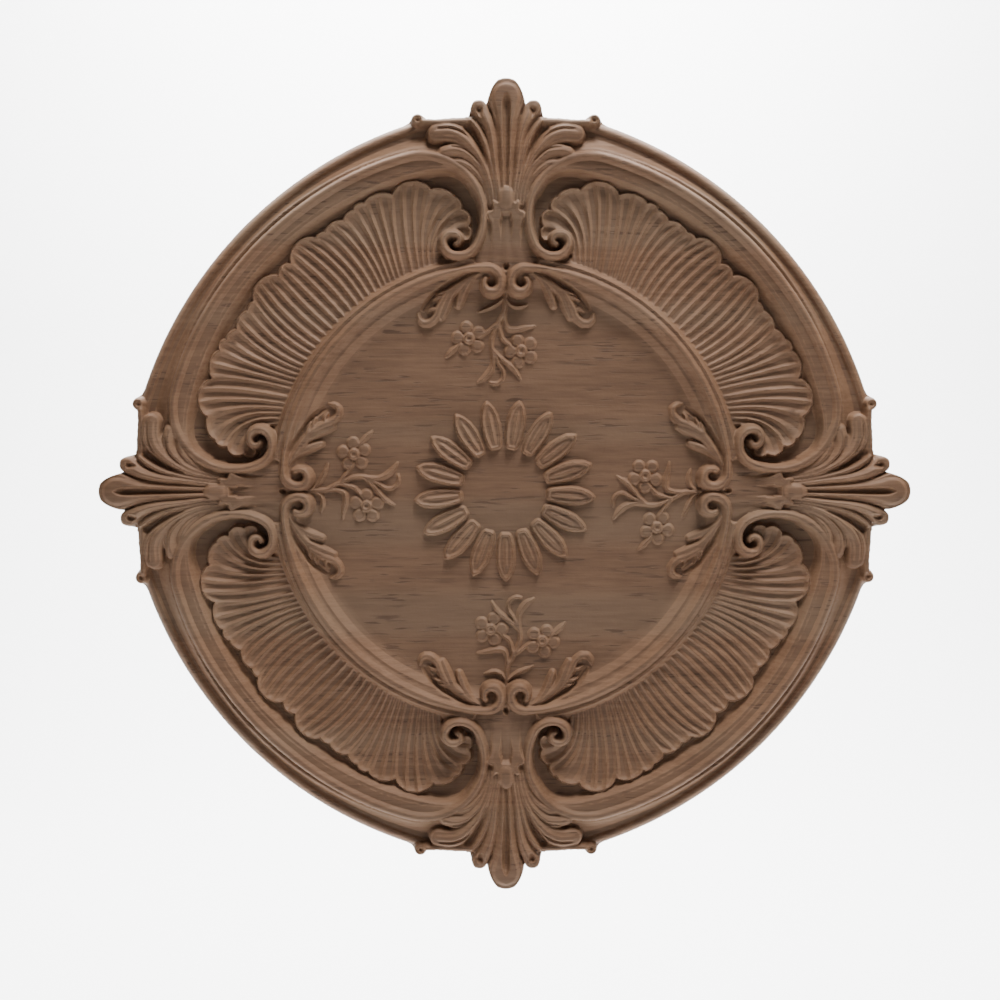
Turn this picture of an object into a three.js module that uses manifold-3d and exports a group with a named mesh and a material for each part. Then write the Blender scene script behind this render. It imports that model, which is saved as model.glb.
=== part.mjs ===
// Round carved wood medallion, cut from one glued board, to be fixed flat on a wall,
// door or ceiling. Four moulded frames with volutes each hold a fluted shell. Four
// acanthus finials close the frames. A torus ring with small scrolls holds a flat
// field with four flower sprays and a rosette of turning petals.
//
// The carving is drawn on the plan (u across, v up, h off the wall) and the finished
// body is turned upright: its flat back lies on y = 0 and its face looks along -y.
import * as THREE from 'three';
import { mergeVertices } from 'three/addons/utils/BufferGeometryUtils.js';
import Module from 'manifold-3d';

// Driving sizes in millimetres; heights are measured off the wall
const WIDTH = 400; // finial tip to finial tip
const DRAWN_WIDTH = 400; // width at which the plan places below are drawn
const PLATE = 5.5; // board left at the bottom of the recess round the shells
const RIM = 8.4; // rounded outer edge of the frames
const RIM_EDGE = 6.2; // top of the edge outside the rim
const COVE = 6.6; // hollow behind the rim
const SECOND_RIDGE = 12; // fine moulding outside the main bead
const BEAD = 15.8; // main bead of a frame
const BAND = 13.8; // flat band inside the main bead
const VOLUTE = 17; // bead where it turns into a volute
const VOLUTE_EYE = 14.5; // end of the bead in the eye
const SHELL_LIP = 10.2; // lobed edge of a shell
const SHELL_HOLLOW = 8.4; // middle of a shell
const SHELL_ROOT = 10.4; // where the flutes meet the ring
const THIN_BEAD = 12.4; // fine bead outside the ring
const RING = 15; // torus round the field
const RING_SEAT = 12.2; // ground on both sides of the torus
const FIELD = 8.5; // flat middle of the medallion
const SCROLL = 15.8; // small scrolls at the ends of the torus
const SCROLL_EYE = 14.3;
const FINIAL = 17.6; // crest of the acanthus finials
const FINIAL_ROOT = 16.4;
const FINIAL_TIP = 13.5;
const CALYX = 15.6; // small leaf under a finial
const SHAFT = 12.6; // plain stem between two volutes
const KNOB = 11; // curled end of the rim
const FLUTE = 1.5; // relief of a shell's ridges over its hollows
const SPRIG_RISE = 3.4; // sprigs over the field
const SPRAY_RISE = 2.2; // flower sprays over the field
const ROSETTE_RISE = 3.2; // petal crests over the field
const FOOT = 1.5; // depth off the wall to which every carved form is rooted
const SINK = 0.5; // how far the edge of a form is buried in the ground beside it
const WELD = 0.001; // points nearer than this are one

// Numbers of copies and sides
const PETALS = 17;
const BLOSSOM_PETALS = 5;
const RING_SIDES = 36;
const KNOB_SIDES = 6;

// Plan radii and widths in millimetres at DRAWN_WIDTH, angles in degrees.
// Arc lists hold [radius, sweep] from the diagonal to the eye of a scroll.
const BEAD_START = 170; // main bead on the diagonal
const BEAD_ARCS = [[161, 30], [29.5, 131], [10.2, 82], [6.4, 70], [4.4, 129], [2.4, 130]];
const BEAD_STEPS = [4, 6, 2, 2, 3, 2];
const BEAD_HALF_WIDTH = 2.3;
const EYE_HALF_WIDTH = 1.5;
const BAND_WIDTH = 7.4; // from the bead's crest to the inner edge of the band
const BAND_FALL = 5; // width of the slope from the band down to the recess
const RIM_CREST = 2; // from the outer edge to the crest of the rim
const COVE_PLACE = 4.8; // from the outer edge to the bottom of the cove
const SECOND_RIDGE_PLACE = 3.7; // from the bead's crest out to the second ridge
const RIM_CENTRE = -17.6; // both coordinates of the rim's centre, beyond the middle
const RIM_RADIUS = 207.5;
const RIM_END_ANGLE = 70.6;
const RIM_ALONG_BEAD = 0.8; // share of the rim that faces the long arc of the bead
const RIM_END = 1.5; // place along the bead's arcs that faces the end of the rim
const TORUS_RADIUS = 110;
const TORUS_ARCS = [[111, 33.5], [60, 11.3], [7.2, 97], [4.4, 76], [4, 137]];
const TORUS_STEPS = [8, 1, 3, 2, 2];
const TORUS_HALF_WIDTH = 3.1;
const TORUS_CREST = 1.4; // half width of the torus's rounded top
const TORUS_FADE = [12, 26]; // distances off an axis between which the torus dies out
const SCROLL_START = 0.7; // place along the torus's arcs where the scroll's bead rises
const SCROLL_HALF_WIDTH = 2.6;
const SCROLL_NECK = 1.5;
const THIN_BEAD_RADIUS = 117.4;
const THIN_BEAD_SPREAD = 1.2;
const FIELD_RADIUS = 97;
const SHELL_CENTRE = -14; // both coordinates of the centre of the flutes' roots
const SHELL_RADIUS = 134;
const SHELL_END_ANGLE = 69.5;
const ROSETTE_RADIUS = 45;
const ROSETTE_EYE = 21;
const PETAL_HALF_WIDTH = 4.4;
const BLOSSOM_RADIUS = 8.4;
const BLOSSOM_WAIST = 0.58; // radius between two petals as a share of the radius
const SHAFT_HALF_WIDTH = 11;
const SHAFT_ENDS = [110, 158];
const KNOB_PLACE = [42.9, 180.3];
const KNOB_RADIUS = 3.6;
const SIDE_LEAF = 4; // place of the side leaf among the ribs of a finial

// Outline of the curled knob between the side leaf of a finial and the rim
const KNOB_OUTLINE = [[39.8, 182.4], [42.4, 183.9], [45.4, 182.9], [47.6, 179.6]];

// Ribs of half a finial from root to tip; hollows lie between neighbours
const FINIAL_RIBS = [
  [[0, 150], [0, 165], [0, 180], [0, 200.2]],
  [[2.3, 151], [2.6, 168], [4.4, 184], [6.2, 196.4]],
  [[5.5, 154], [6.2, 168], [8.6, 180.5], [13.6, 189.4]],
  [[7, 157], [9.6, 169], [13, 177], [18.4, 182.2]],
  [[9, 158], [14.5, 167.5], [22.5, 175.4], [38.2, 179.6]],
  [[11.5, 156.5], [17.5, 163.5], [24, 167.2], [34, 165.6]],
];
const FINIAL_HOLLOWS = [1.6, 1.4, 1.8, 3.6, 3.2]; // depth of each hollow under its ribs
const FINIAL_SHORTS = [-0.06, 0.33, -0.12, 0.15, 0.15]; // share by which a hollow stops short of the tips

// Half of the calyx from its middle outwards, as lines from root to tip
const CALYX_LINES = [
  [[0, 131], [0, 141], [0, 149.6]],
  [[2, 131], [2.4, 141], [2.8, 147.4]],
  [[3.2, 131.5], [4.2, 139], [4.6, 144]],
  [[4.4, 132], [5.8, 138], [6.4, 142.2]],
  [[5, 132.5], [7, 136.6], [8.2, 137.4]],
];

// Blossoms of the upper spray: place and the direction of one petal in degrees
const BLOSSOMS = [[-18.2, 75, 103], [7.5, 69, 110]];

// Ribs of a sprig from the ring to its leaf tips
const SPRIG_RIBS = [
  [[14.2, 106], [18, 100.5], [21.6, 95.5], [23.6, 88.8]],
  [[18.4, 105.4], [24.6, 99], [29, 90.5], [32.4, 83]],
  [[25, 102], [33, 96], [37, 87], [43.4, 86.6]],
];

// Notches of the shell's lobed edge, from the volute to the small lobe on the diagonal
const SHELL_NOTCHES = [
  [18.6, 129.2], [22.5, 137], [25.3, 143.2], [36.5, 146.5], [55.3, 143.8], [69, 140.3], [79, 131.5],
  [92.7, 123.2], [104.6, 110.6], [110.6, 104.6],
];
const LOBE_BULGE = [0.34, 0.26, 0.18, 0.3, 0.2, 0.22, 0.2, 0.28, 0.33]; // share of each lobe's width
// How a flute leaves the ring, from the volute to the diagonal: direction in degrees of
// its inner part, and length of that part as a share of the flute
const FLUTE_ANGLES = [92, 81, 77, 74, 72, 69, 67, 63, 58, 53, 48, 45];
const FLUTE_BENDS = [0.79, 0.72, 0.66, 0.6, 0.66, 0.64, 0.6, 0.56, 0.52, 0.5, 0.5, 0.5];

const plan = WIDTH / DRAWN_WIDTH;
const degrees = THREE.MathUtils.degToRad;
const mix = THREE.MathUtils.lerp;
const clamp = THREE.MathUtils.clamp;
const wasm = await Module();
wasm.setup();

// Solids from sheets of points

function solidFrom(geometry) {
  geometry.deleteAttribute('normal');
  geometry.deleteAttribute('uv');
  const merged = mergeVertices(geometry, WELD);
  return new wasm.Manifold(new wasm.Mesh({
    numProp: 3,
    vertProperties: new Float32Array(merged.attributes.position.array),
    triVerts: new Uint32Array(merged.index.array),
  }));
}

// Plan area of a sheet, positive when its columns lie to the left of its rows
function signedArea(rows) {
  let area = 0;
  for (let i = 0; i + 1 < rows.length; i += 1) {
    for (let j = 0; j + 1 < rows[i].length; j += 1) {
      const [a, b, c] = [rows[i][j], rows[i + 1][j], rows[i][j + 1]];
      area += (b[0] - a[0]) * (c[1] - a[1]) - (b[1] - a[1]) * (c[0] - a[0]);
    }
  }
  return area;
}

// A closed block under a sheet of [u, v, h] points, cut off flat at the foot
function block(sheet) {
  const rows = signedArea(sheet) > 0 ? sheet : sheet.map((row) => [...row].reverse());
  const [length, across] = [rows.length, rows[0].length];
  const positions = [];
  for (const row of rows) {
    for (const [u, v, h] of row) {
      positions.push(u * plan, v * plan, h);
    }
  }
  for (const row of rows) {
    for (const [u, v] of row) {
      positions.push(u * plan, v * plan, FOOT);
    }
  }
  const under = length * across;
  const index = [];
  const quad = (a, b, c, d) => index.push(a, b, c, a, c, d);
  for (let i = 0; i + 1 < length; i += 1) {
    for (let j = 0; j + 1 < across; j += 1) {
      const corner = i * across + j;
      quad(corner, corner + across, corner + across + 1, corner + 1);
      quad(under + corner, under + corner + 1, under + corner + across + 1, under + corner + across);
    }
  }
  const edge = [];
  for (let i = 0; i + 1 < length; i += 1) {
    edge.push(i * across);
  }
  for (let j = 0; j + 1 < across; j += 1) {
    edge.push((length - 1) * across + j);
  }
  for (let i = length - 1; i > 0; i -= 1) {
    edge.push(i * across + across - 1);
  }
  for (let j = across - 1; j > 0; j -= 1) {
    edge.push(j);
  }
  edge.forEach((a, k) => {
    const b = edge[(k + 1) % edge.length];
    quad(a, under + a, under + b, b);
  });
  const geometry = new THREE.BufferGeometry();
  geometry.setAttribute('position', new THREE.Float32BufferAttribute(positions, 3));
  geometry.setIndex(index);
  return solidFrom(geometry);
}

// Tangent arcs that all turn left, as points with their left normals. They start on the
// diagonal, heading across it, and arc counts the arcs passed so far.
function arcChain(startRadius, arcs, stepsOf) {
  let u = startRadius / Math.SQRT2;
  let v = u;
  let angle = degrees(135);
  const line = [{ u, v, nu: -Math.sin(angle), nv: Math.cos(angle), arc: 0 }];
  arcs.forEach(([radius, sweep], arc) => {
    const cu = u - radius * Math.sin(angle);
    const cv = v + radius * Math.cos(angle);
    for (let k = 1; k <= stepsOf[arc]; k += 1) {
      const share = k / stepsOf[arc];
      const turned = angle + degrees(sweep) * share;
      u = cu + radius * Math.sin(turned);
      v = cv - radius * Math.cos(turned);
      line.push({ u, v, nu: -Math.sin(turned), nv: Math.cos(turned), arc: arc + share });
    }
    angle += degrees(sweep);
  });
  return line;
}

// Sections of a stroke as [share of the half width, share of the height]
const ROUND = [[-1, 0], [-0.45, 1], [0.5, 0.98], [1, 0]];
const LEAF = [[-1, 0], [-0.2, 1], [1, 0.1]];
const ROOF = [[-1, 0], [0, 1], [1, 0]];

function strokeRows(line, section, ground) {
  return line.map(({ u, v, nu, nv, half, height }) => section.map(([across, rise]) => [
    u + nu * half * across, v + nv * half * across, mix(ground, height, rise),
  ]));
}

// A stroke through stations of [u, v, half width, height]
function stroke(stations, section, ground) {
  const line = stations.map(([u, v, half, height], i) => {
    const before = stations[Math.max(i - 1, 0)];
    const after = stations[Math.min(i + 1, stations.length - 1)];
    const length = Math.hypot(after[0] - before[0], after[1] - before[1]);
    return { u, v, half, height, nu: (before[1] - after[1]) / length, nv: (after[0] - before[0]) / length };
  });
  return strokeRows(line, section, ground);
}

// Ribs with a hollow between each two: its depth, and how far it stops short of the tips
function ribbed(ribs, depthAt, shortAt) {
  const lines = [ribs[0]];
  ribs.slice(1).forEach((rib, i) => {
    const hollow = rib.map((p, k) => p.map((value, n) => (value + ribs[i][k][n]) / 2));
    const end = hollow.length - 1;
    hollow[end] = hollow[end].map((value, n) => mix(value, hollow[end - 1][n], shortAt(i)));
    lines.push(hollow.map(([u, v, h], k) => [u, v, h - depthAt(i, k)]), rib);
  });
  return lines;
}

// The places of a motif that is drawn at the top of the medallion
const turned = (rows, quarter) => rows.map((row) => row.map(([u, v, h]) => [
  [u, v, h], [-v, u, h], [-u, -v, h], [v, -u, h],
][quarter]));
const mirrored = (rows) => rows.map((row) => row.map(([u, v, h]) => [-u, v, h]));
const overDiagonal = (rows) => rows.map((row) => row.map(([u, v, h]) => [v, u, h]));
const quarters = (rows) => [0, 1, 2, 3].map((quarter) => turned(rows, quarter));
const eighths = (rows) => [...quarters(rows), ...quarters(mirrored(rows))];
const bothSides = (rows) => [...mirrored(rows.slice(1)).reverse(), ...rows];
const bothSidesOfDiagonal = (rows) => [...overDiagonal(rows.slice(1)).reverse(), ...rows];

// Board

function rimPoint(share) {
  const angle = degrees(mix(45, RIM_END_ANGLE, share));
  return [RIM_CENTRE + RIM_RADIUS * Math.cos(angle), RIM_CENTRE + RIM_RADIUS * Math.sin(angle)];
}

// The finial's side leaf is the last rib that reaches the outline
function outline() {
  const tips = finialLines().slice(0, 2 * SIDE_LEAF + 1).map((line) => line[line.length - 1]);
  const half = [...tips, ...KNOB_OUTLINE];
  for (const { arc } of beadLine().filter((p) => p.arc <= RIM_END).reverse()) {
    half.push(rimPoint(facingShare(arc)));
  }
  const quarter = [...half, ...half.slice(1, -1).reverse().map(([u, v]) => [v, u])];
  return [0, 1, 2, 3].flatMap((turn) => quarter.map(([u, v]) => [[u, v], [v, -u], [-u, -v], [-v, u]][turn]));
}

function board() {
  const shape = new THREE.Shape(outline().map(([u, v]) => new THREE.Vector2(u * plan, v * plan)));
  return solidFrom(new THREE.ExtrudeGeometry(shape, { depth: PLATE, bevelEnabled: false }));
}

// Frames and volutes

function beadLine() {
  const line = arcChain(BEAD_START, BEAD_ARCS, BEAD_STEPS);
  for (const p of line) {
    const rolled = clamp((p.arc - 1.3) / 2.2, 0, 1);
    const tail = clamp((p.arc - 3.6) / 2.4, 0, 1);
    p.half = mix(BEAD_HALF_WIDTH, EYE_HALF_WIDTH, tail);
    p.height = mix(mix(BEAD, VOLUTE, rolled), VOLUTE_EYE, tail);
  }
  return line;
}

// Place on the rim, 0 on the diagonal and 1 at the knob, that faces a station of the bead
function facingShare(arc) {
  return arc < 1 ? arc * RIM_ALONG_BEAD : mix(RIM_ALONG_BEAD, 1, (arc - 1) / (RIM_END - 1));
}

// From the rim over the cove, second ridge and main bead, down to the recess
function frameRows() {
  const rows = beadLine().filter((p) => p.arc <= RIM_END).map((p) => {
    const rim = rimPoint(facingShare(p.arc));
    const gap = Math.hypot(p.u - rim[0], p.v - rim[1]);
    const outside = [
      [0, RIM_EDGE], [RIM_CREST, RIM], [COVE_PLACE, COVE], [gap - SECOND_RIDGE_PLACE, SECOND_RIDGE],
      [gap - p.half, SECOND_RIDGE - 1],
    ];
    const dyingOut = clamp((p.arc - 1.1) / (RIM_END - 1.1), 0, 1);
    const band = mix(BAND_WIDTH, p.half + 0.6, dyingOut);
    const inside = [
      [-0.4 * p.half, p.height], [0.5 * p.half, p.height - 0.2], [p.half, BAND], [band, BAND - 0.4],
      [band + BAND_FALL, PLATE - SINK],
    ];
    return [
      ...outside.map(([along, h]) => [mix(rim[0], p.u, along / gap), mix(rim[1], p.v, along / gap), h]),
      ...inside.map(([off, h]) => [p.u + p.nu * off, p.v + p.nv * off, h]),
    ];
  });
  return bothSidesOfDiagonal(rows);
}

// The end of the bead, where it leaves the frame and rolls into a volute
function voluteRows() {
  return strokeRows(beadLine().filter((p) => p.arc >= RIM_END - 0.1), ROUND, PLATE - SINK);
}

// Shells

// The lobed edge: each notch, where a ridge ends, and the middle of each lobe between
function shellEdge() {
  const edge = [];
  SHELL_NOTCHES.forEach((notch, i) => {
    edge.push({ at: notch, ridge: 1 });
    const next = SHELL_NOTCHES[i + 1];
    if (next) {
      const [du, dv] = [next[0] - notch[0], next[1] - notch[1]];
      const middle = [notch[0] + du / 2 - dv * LOBE_BULGE[i], notch[1] + dv / 2 + du * LOBE_BULGE[i]];
      edge.push({ at: middle, ridge: 0 });
    }
  });
  return edge.slice(0, -1);
}

// Value of an evenly spaced list at a share of its length
function along(list, share) {
  const at = share * (list.length - 1);
  const low = Math.min(Math.floor(at), list.length - 2);
  return mix(list[low], list[low + 1], at - low);
}

// Half a shell: curved lines from the ring to the lobed edge, by turns ridge and hollow
function shellRows() {
  const edge = shellEdge();
  const stations = [
    { t: 0, ground: SHELL_ROOT, relief: 0.5 },
    { t: 0.55, ground: SHELL_HOLLOW, relief: 1 },
    { t: 1, ground: SHELL_LIP, relief: 0.3 },
  ];
  const lines = edge.map(({ at, ridge }, i) => {
    const share = i / (edge.length - 1);
    const angle = degrees(mix(SHELL_END_ANGLE, 45, share));
    const root = [Math.cos(angle), Math.sin(angle)].map((side) => SHELL_CENTRE + SHELL_RADIUS * side);
    const lean = degrees(along(FLUTE_ANGLES, share));
    const reach = along(FLUTE_BENDS, share) * Math.hypot(at[0] - root[0], at[1] - root[1]);
    const knee = [root[0] + reach * Math.cos(lean), root[1] + reach * Math.sin(lean)];
    const curve = new THREE.QuadraticBezierCurve(
      new THREE.Vector2(...root),
      new THREE.Vector2(...knee),
      new THREE.Vector2(...at),
    );
    return stations.map(({ t, ground, relief }) => {
      const p = curve.getPoint(t);
      return [p.x, p.y, ground + (2 * ridge - 1) * FLUTE * relief];
    });
  });
  return bothSidesOfDiagonal(lines.reverse());
}

// Ring, field and small scrolls

function ringAndField() {
  const profile = [
    [0, FOOT], [THIN_BEAD_RADIUS + THIN_BEAD_SPREAD, FOOT], [THIN_BEAD_RADIUS, THIN_BEAD],
    [TORUS_RADIUS + TORUS_HALF_WIDTH, RING_SEAT - SINK], [TORUS_RADIUS + TORUS_CREST, RING],
    [TORUS_RADIUS - TORUS_CREST, RING], [TORUS_RADIUS - TORUS_HALF_WIDTH, RING_SEAT],
    [FIELD_RADIUS, FIELD], [0, FIELD],
  ];
  const points = profile.map(([r, h]) => new THREE.Vector2(r * plan, h));
  const lathe = new THREE.LatheGeometry(points, RING_SIDES);
  lathe.rotateX(Math.PI / 2);
  sinkTorusAtAxes(lathe.attributes.position);
  return solidFrom(lathe);
}

// The torus dies out towards the four axes, where the small scrolls take its place
function sinkTorusAtAxes(position) {
  const [end, full] = TORUS_FADE;
  for (let i = 0; i < position.count; i += 1) {
    const [u, v, h] = [position.getX(i), position.getY(i), position.getZ(i)];
    const offAxis = Math.min(Math.abs(u), Math.abs(v)) / plan;
    const onTorus = Math.hypot(u, v) < (TORUS_RADIUS + TORUS_HALF_WIDTH) * plan;
    if (onTorus && h > RING_SEAT) {
      position.setZ(i, mix(RING_SEAT, h, clamp((offAxis - end) / (full - end), 0, 1)));
    }
  }
}

// The bead that leaves the torus near an axis and rolls into a small scroll
function scrollRows() {
  const line = arcChain(TORUS_RADIUS, TORUS_ARCS, TORUS_STEPS).filter((p) => p.arc > SCROLL_START);
  for (const p of line) {
    const narrowing = clamp((p.arc - SCROLL_START) / 0.5, 0, 1);
    const swelling = clamp((p.arc - 2.2) / 1.6, 0, 1);
    const tail = clamp((p.arc - 4.2) / 0.8, 0, 1);
    const body = mix(mix(SCROLL_HALF_WIDTH, SCROLL_NECK, narrowing), SCROLL_HALF_WIDTH, swelling);
    p.half = mix(body, SCROLL_HALF_WIDTH / 2, tail);
    p.height = mix(mix(RING - SINK, SCROLL, narrowing), SCROLL_EYE, tail);
  }
  return strokeRows(line, ROOF, FIELD - SINK);
}

// Sprigs beside the scrolls

function sprigRows() {
  const top = FIELD + SPRIG_RISE;
  const heights = [top + 1, top + SINK, top, FIELD - SINK];
  const depths = [0.3, 1.8, SPRIG_RISE + 1, 0];
  const ribs = SPRIG_RIBS.map((rib) => rib.map(([u, v], k) => [u, v, heights[k]]));
  return ribbed(ribs, (i, k) => depths[k], () => 0.15);
}

// Flower sprays on the field

// A five petalled star, one petal pointing along leadAngle
function blossom(u, v, leadAngle) {
  const top = FIELD + SPRAY_RISE;
  const profile = [
    [0, FOOT], [BLOSSOM_RADIUS, FOOT], [BLOSSOM_RADIUS, mix(FIELD, top, 0.36)],
    [0.64 * BLOSSOM_RADIUS, top], [0, top - SINK],
  ];
  const points = profile.map(([r, h]) => new THREE.Vector2(r * plan, h));
  const lathe = new THREE.LatheGeometry(points, BLOSSOM_PETALS * 2);
  const position = lathe.attributes.position;
  for (let i = 0; i < position.count; i += 1) {
    const betweenPetals = Math.floor(i / points.length) % 2 === 1;
    const share = betweenPetals ? BLOSSOM_WAIST : 1;
    position.setX(i, position.getX(i) * share);
    position.setZ(i, position.getZ(i) * share);
  }
  lathe.rotateX(Math.PI / 2);
  lathe.rotateZ(degrees(leadAngle + 90));
  lathe.translate(u * plan, v * plan, 0);
  return solidFrom(lathe);
}

// Blossoms of all four sprays: mirrored over both diagonals and turned round
function blossoms() {
  return BLOSSOMS.flatMap(([u, v, lead]) => [
    blossom(u, v, lead), blossom(-u, -v, lead + 180), blossom(v, u, 90 - lead), blossom(-v, -u, 270 - lead),
  ]);
}

// Stems and leaves of the upper spray as strokes of [u, v, half width, height]
function sprayRows() {
  const top = FIELD + SPRAY_RISE;
  const low = top - SINK;
  const stems = [
    [[0, 97.5, 0.9, top], [-0.5, 90, 1.1, top], [-6, 77.5, 1.1, top], [-6.4, 66, 1, top]],
    [[-12.5, 76, 0.8, low], [-4.2, 81.6, 0.9, top], [2, 71.5, 0.8, low]],
  ];
  const leaves = [
    [[-0.9, 87, 1, top], [1.2, 79.6, 1.5, top], [14.3, 81, 0.4, FIELD]],
    [[-6.4, 67, 1, top], [-7.4, 60, 1.8, top], [-14, 53.5, 0.4, FIELD]],
    [[-6.4, 68.5, 0.8, top], [1.4, 63.2, 1.4, top], [7.2, 55.2, 0.4, FIELD]],
    [[-22, 73, 1.2, top], [-26, 69.6, 1.7, top], [-29.4, 66, 0.4, FIELD]],
  ];
  return [
    ...stems.map((stem) => stroke(stem, ROOF, FIELD - SINK)),
    ...leaves.map((leaf) => stroke(leaf, LEAF, FIELD - SINK)),
  ];
}

// The upper spray is turned upside down for the lower one, and both are mirrored over the
// diagonal for the two at the sides
const sprayPlaces = (rows) => [rows, turned(rows, 2), overDiagonal(rows), turned(overDiagonal(rows), 2)];

// Rosette of petals, each lying on the next one round. Rows are [share of the length,
// share of the half width, share of the rise], columns [share across, share of the rise].

function rosette() {
  const alongPetal = [[0, 0.4, 0.6], [0.5, 1, 1], [1, 0.1, 0.35]];
  const acrossPetal = [[-1, 0], [0.6, 1], [1, 0.55]];
  return Array.from({ length: PETALS }, (_, k) => {
    const angle = degrees(271 + (360 * k) / PETALS);
    const [cu, cv] = [Math.cos(angle), Math.sin(angle)];
    return alongPetal.map(([share, width, swell]) => {
      const radius = mix(ROSETTE_EYE, ROSETTE_RADIUS, share);
      const half = width * PETAL_HALF_WIDTH;
      return acrossPetal.map(([across, rise]) => [
        radius * cu - cv * half * across,
        radius * cv + cu * half * across,
        mix(FIELD - SINK, FIELD + ROSETTE_RISE, swell * rise),
      ]);
    });
  });
}

// Finials with a calyx and stem below

function finialLines() {
  const crest = [FINIAL_ROOT, FINIAL, FINIAL - SINK, FINIAL_TIP];
  const lowered = [1.8, 0.35, 0.7, 1, 1.4, 1.8];
  const ribs = FINIAL_RIBS.map((rib, i) => rib.map(([u, v], k) => [u, v, crest[k] - lowered[i]]));
  return ribbed(ribs, (i, k) => FINIAL_HOLLOWS[i] * (k === 0 ? 0.4 : 1), (i) => FINIAL_SHORTS[i]);
}

function finialRows() {
  const half = finialLines();
  half.push(half[half.length - 1].map(([u, v]) => [u + 1.2, v - 4, BAND - SINK]));
  return bothSides(half);
}

function shaftRows() {
  return SHAFT_ENDS.map((v) => [[-SHAFT_HALF_WIDTH, v, SHAFT], [SHAFT_HALF_WIDTH, v, SHAFT]]);
}

// Tips alternate with notches, so every other line of the calyx lies lower
function calyxRows() {
  const lines = CALYX_LINES.map((line, i) => {
    const top = i % 2 ? CALYX : CALYX - 1.6;
    return line.map(([u, v], k) => [u, v, [SHAFT - SINK, top, top - SINK][k]]);
  });
  return bothSides(lines);
}

// Curled knobs between the finials and the rim

function knobs() {
  const points = [[0, FOOT], [KNOB_RADIUS, FOOT], [KNOB_RADIUS, RIM], [0, KNOB]]
    .map(([r, h]) => new THREE.Vector2(r * plan, h));
  const [u, v] = KNOB_PLACE;
  const places = [[u, v], [-u, v], [u, -v], [-u, -v], [v, u], [-v, u], [v, -u], [-v, -u]];
  return places.map(([x, y]) => {
    const lathe = new THREE.LatheGeometry(points, KNOB_SIDES);
    lathe.rotateX(Math.PI / 2);
    lathe.translate(x * plan, y * plan, 0);
    return solidFrom(lathe);
  });
}

// The whole body

function medallion() {
  const sheets = [
    ...quarters(frameRows()),
    ...eighths(voluteRows()),
    ...quarters(shellRows()),
    ...eighths(scrollRows()),
    ...eighths(sprigRows()),
    ...sprayRows().flatMap(sprayPlaces),
    ...rosette(),
    ...quarters(finialRows()),
    ...quarters(shaftRows()),
    ...quarters(calyxRows()),
  ];
  const solids = [board(), ringAndField(), ...blossoms(), ...knobs(), ...sheets.map(block)];
  const upright = geometryOf(solids.reduce((sum, solid) => sum.add(solid))).rotateX(Math.PI / 2);
  return geometryOf(largestBody(upright));
}

function geometryOf(solid) {
  const { vertProperties, triVerts } = solid.getMesh();
  const geometry = new THREE.BufferGeometry();
  geometry.setAttribute('position', new THREE.Float32BufferAttribute(vertProperties, 3));
  geometry.setIndex([...triVerts]);
  return geometry;
}

// The body without the slivers that are left where two forms graze each other
function largestBody(geometry) {
  const bodies = solidFrom(geometry).decompose();
  return bodies.reduce((largest, body) => (body.volume() > largest.volume() ? body : largest));
}

const wood = new THREE.MeshStandardMaterial({ color: 0x8f7560, roughness: 0.72, metalness: 0 });
const group = new THREE.Group();
const piece = new THREE.Mesh(medallion(), wood);
piece.name = 'medallion';
group.add(piece);

export default group;
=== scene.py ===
"""Carved wood medallion applique: the fine carving, the wood and the studio."""
import math

import bmesh
import bpy
import numpy as np
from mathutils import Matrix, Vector


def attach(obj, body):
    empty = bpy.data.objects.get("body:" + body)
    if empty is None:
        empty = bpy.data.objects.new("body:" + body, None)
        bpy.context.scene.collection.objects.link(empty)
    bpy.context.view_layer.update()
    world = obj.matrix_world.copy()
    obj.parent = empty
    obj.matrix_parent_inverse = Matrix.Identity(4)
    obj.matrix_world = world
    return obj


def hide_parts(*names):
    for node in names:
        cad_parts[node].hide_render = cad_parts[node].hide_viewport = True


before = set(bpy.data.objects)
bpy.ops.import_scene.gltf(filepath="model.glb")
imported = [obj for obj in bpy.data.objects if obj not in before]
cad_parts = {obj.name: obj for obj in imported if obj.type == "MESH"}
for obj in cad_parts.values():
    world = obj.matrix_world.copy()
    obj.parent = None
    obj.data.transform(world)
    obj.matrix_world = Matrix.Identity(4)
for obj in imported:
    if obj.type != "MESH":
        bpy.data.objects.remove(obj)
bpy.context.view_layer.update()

bl_info = {
    "name": "Carved wood medallion",
    "version": (1, 0, 0),
    "blender": (4, 5, 0),
    "location": "3D View > Sidebar > Medallion",
    "description": "Round carved wood applique with scroll frames, shells, finials and a rosette",
    "category": "Add Mesh",
}

NODE = "medallion"

# Heights off the wall in millimetres
RECESS = 7.4
RIM = 8.6
RIM_EDGE = 3.8
COVE = 6.6
SECOND_RIDGE = 12.2
BEAD = 15.8
BAND = 13.6
VOLUTE = 16.9
VOLUTE_EYE = 14.5
SHELL_LIP = 10.6
SHELL_HOLLOW = 9
SHELL_ROOT = 10.3
THIN_BEAD = 14.1
RING = 15.2
RING_SEAT = 12.2
FIELD = 8.5
SCROLL = 15.8
SHAFT = 12.4
KNOB = 11
RIM_BAR_TOP = 13.4

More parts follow.
